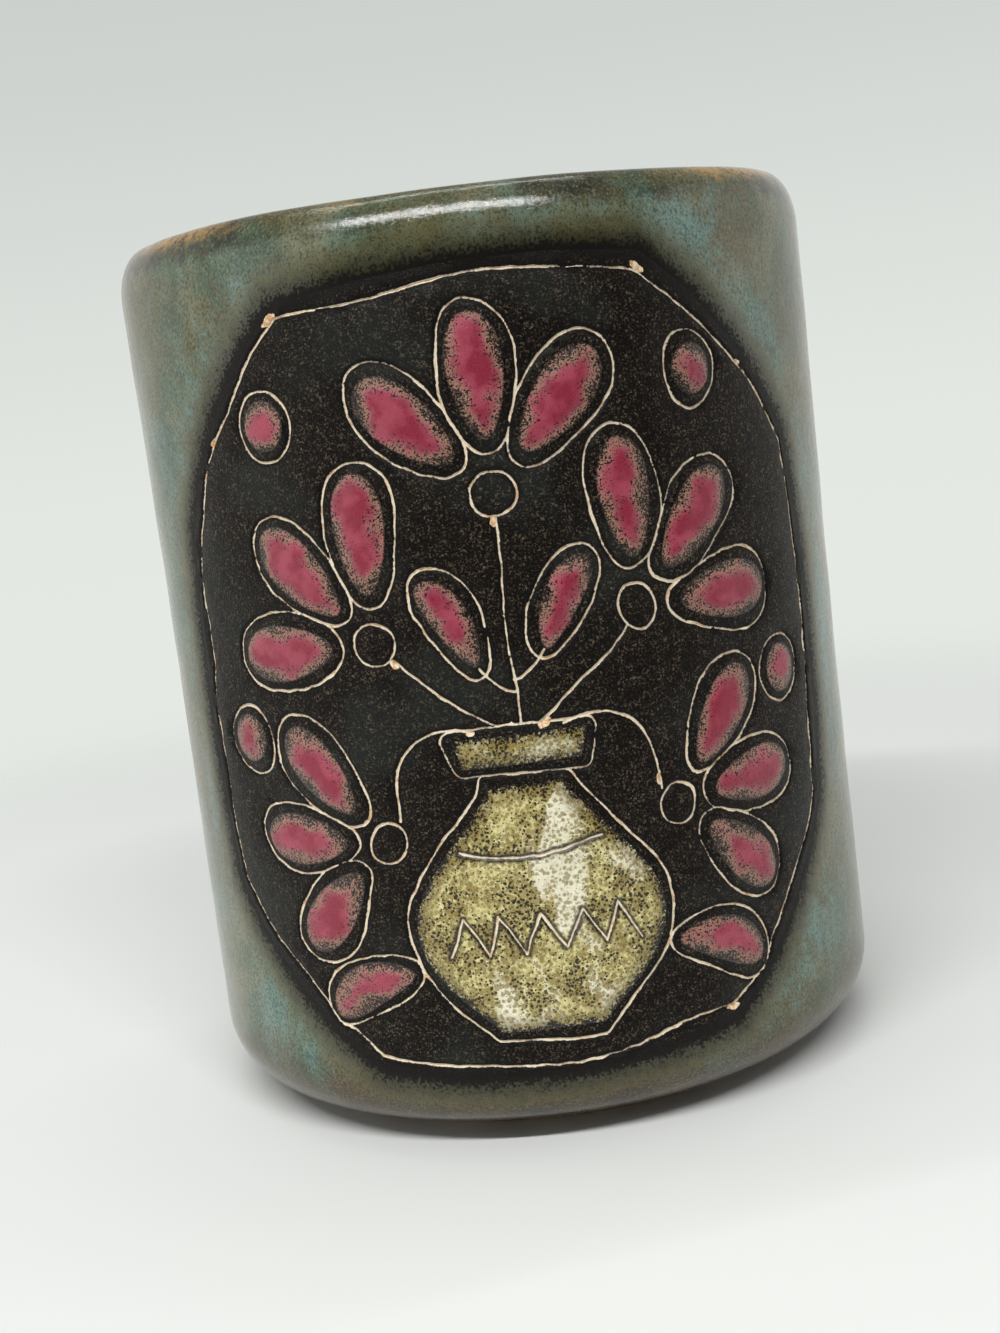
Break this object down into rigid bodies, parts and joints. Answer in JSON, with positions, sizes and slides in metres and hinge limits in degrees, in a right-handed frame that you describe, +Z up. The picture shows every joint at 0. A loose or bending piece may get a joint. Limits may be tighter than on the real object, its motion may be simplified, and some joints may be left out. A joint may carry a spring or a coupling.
{
  "type": "mug",
  "caption": "Straight-sided stoneware mug with a rounded lip, a foot ring, a strap handle and a dark decorated panel on its front.",
  "frame": {"origin": "under the middle of the mug and its handle together, on the plane that the foot ring stands on", "axes": "+Z up along the mug's own axis, +Y from the decorated front towards the handle, +X to the right as seen from the front; the mug's axis is at y = -0.0188 m"},
  "size_m": [0.089, 0.1274, 0.112],
  "materials": {
    "stoneware_clay": "bare fired stoneware, matte",
    "luting_slip": "fired slip, matte",
    "green_glaze": "mottled teal and olive glaze, satin gloss",
    "liner_glaze": "plain grey-green glaze, glossy",
    "dark_glaze": "speckled black-brown slip glaze, satin",
    "rose_glaze": "raspberry glaze with speckled edges, satin gloss",
    "straw_glaze": "yellow-green glaze with dark speckles, satin gloss"
  },
  "bodies": {
    "root": {"clay_body": "stoneware_clay", "clay_handle": "stoneware_clay", "upper_luting_slip": "luting_slip", "lower_luting_slip": "luting_slip", "outer_glaze": "green_glaze", "handle_glaze": "green_glaze", "liner_glaze": "liner_glaze", "base_glaze": "dark_glaze", "panel_slip": "dark_glaze", "vase_glaze": "straw_glaze", "vase_rim_glaze": "straw_glaze", "petal_glaze_1a": "rose_glaze", "petal_glaze_1b": "rose_glaze", "petal_glaze_1c": "rose_glaze", "petal_glaze_2a": "rose_glaze", "petal_glaze_2b": "rose_glaze", "petal_glaze_2c": "rose_glaze", "petal_glaze_3a": "rose_glaze", "petal_glaze_3b": "rose_glaze", "petal_glaze_3c": "rose_glaze", "petal_glaze_4a": "rose_glaze", "petal_glaze_4b": "rose_glaze", "petal_glaze_4c": "rose_glaze", "petal_glaze_5a": "rose_glaze", "petal_glaze_5b": "rose_glaze", "petal_glaze_5c": "rose_glaze", "leaf_glaze_1": "rose_glaze", "leaf_glaze_2": "rose_glaze", "leaf_glaze_3": "rose_glaze", "leaf_glaze_4": "rose_glaze", "berry_glaze_1": "rose_glaze", "berry_glaze_2": "rose_glaze", "berry_glaze_3": "rose_glaze", "berry_glaze_4": "rose_glaze"}
  },
  "joints": []
}
